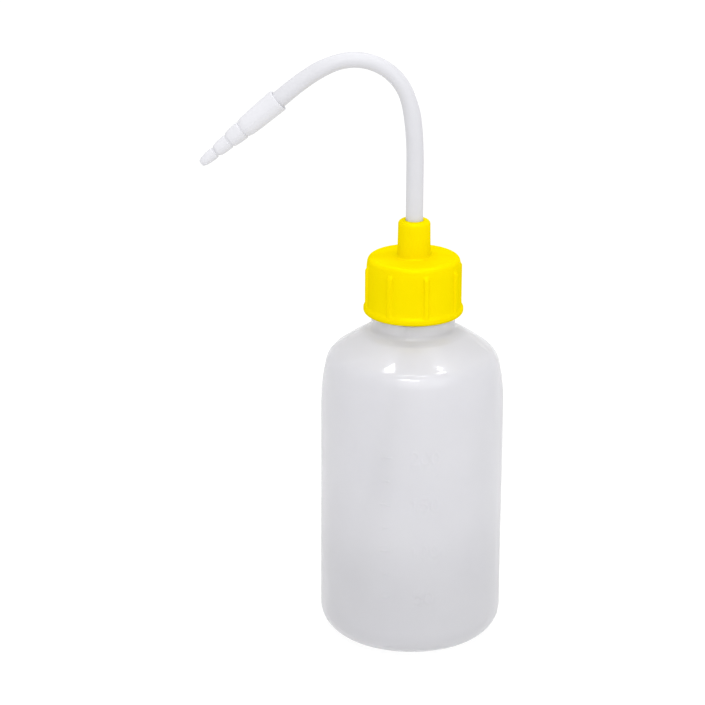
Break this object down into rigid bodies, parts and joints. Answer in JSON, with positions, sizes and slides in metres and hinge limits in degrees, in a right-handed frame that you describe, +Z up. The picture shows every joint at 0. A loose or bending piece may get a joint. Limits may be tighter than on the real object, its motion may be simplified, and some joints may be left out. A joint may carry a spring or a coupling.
{
  "type": "wash bottle",
  "caption": "Squeeze bottle with a ribbed screw cap, a bent delivery tube ending in a stepped jet tip, and a slanted dip tube inside.",
  "frame": {"origin": "centre of the bottle's base, on its axis, in the plane of its foot ring", "axes": "+Z up along the bottle's axis; the jet points to -X and down; the front of the bottle, with its graduations, faces -Y"},
  "size_m": [0.1005, 0.061, 0.2008],
  "materials": {
    "bottle_ldpe": "milky translucent, softly glossy, blow-moulded",
    "cap_pp": "opaque bright yellow, satin gloss, injection-moulded",
    "liner_pe": "soft white foamed sheet",
    "tube_ldpe": "milky translucent, softly glossy, extruded",
    "tip_ldpe": "milky translucent, softly glossy, injection-moulded"
  },
  "bodies": {
    "bottle_body": {"bottle": "bottle_ldpe"},
    "liner_carrier": {"cap_liner": "liner_pe"},
    "cap_body": {"screw_cap": "cap_pp", "dip_tube": "tube_ldpe"},
    "spout": {"delivery_tube": "tube_ldpe"},
    "jet": {"jet_tip": "tip_ldpe"}
  },
  "joints": [
    {"name": "cap_rise", "type": "slide", "parent": "bottle_body", "child": "liner_carrier", "axis": [0, 0, 1], "range_m": [0, 0.00635]},
    {"name": "cap_turn", "type": "hinge", "parent": "liner_carrier", "child": "cap_body", "pos_m": [0, 0, 0.122], "axis": [0, 0, 1], "range_deg": [0, 540]},
    {"name": "tube_swivel", "type": "hinge", "parent": "cap_body", "child": "spout", "pos_m": [0, 0, 0.1367], "axis": [0, 0, 1], "continuous": true},
    {"name": "tip_pull", "type": "slide", "parent": "spout", "child": "jet", "axis": [-0.7632, 0, -0.6461], "range_m": [0, 0.0113]}
  ],
  "couplings": [
    {"joint": "cap_rise", "follows": "cap_turn", "m_per_rad": 0.00067322}
  ]
}
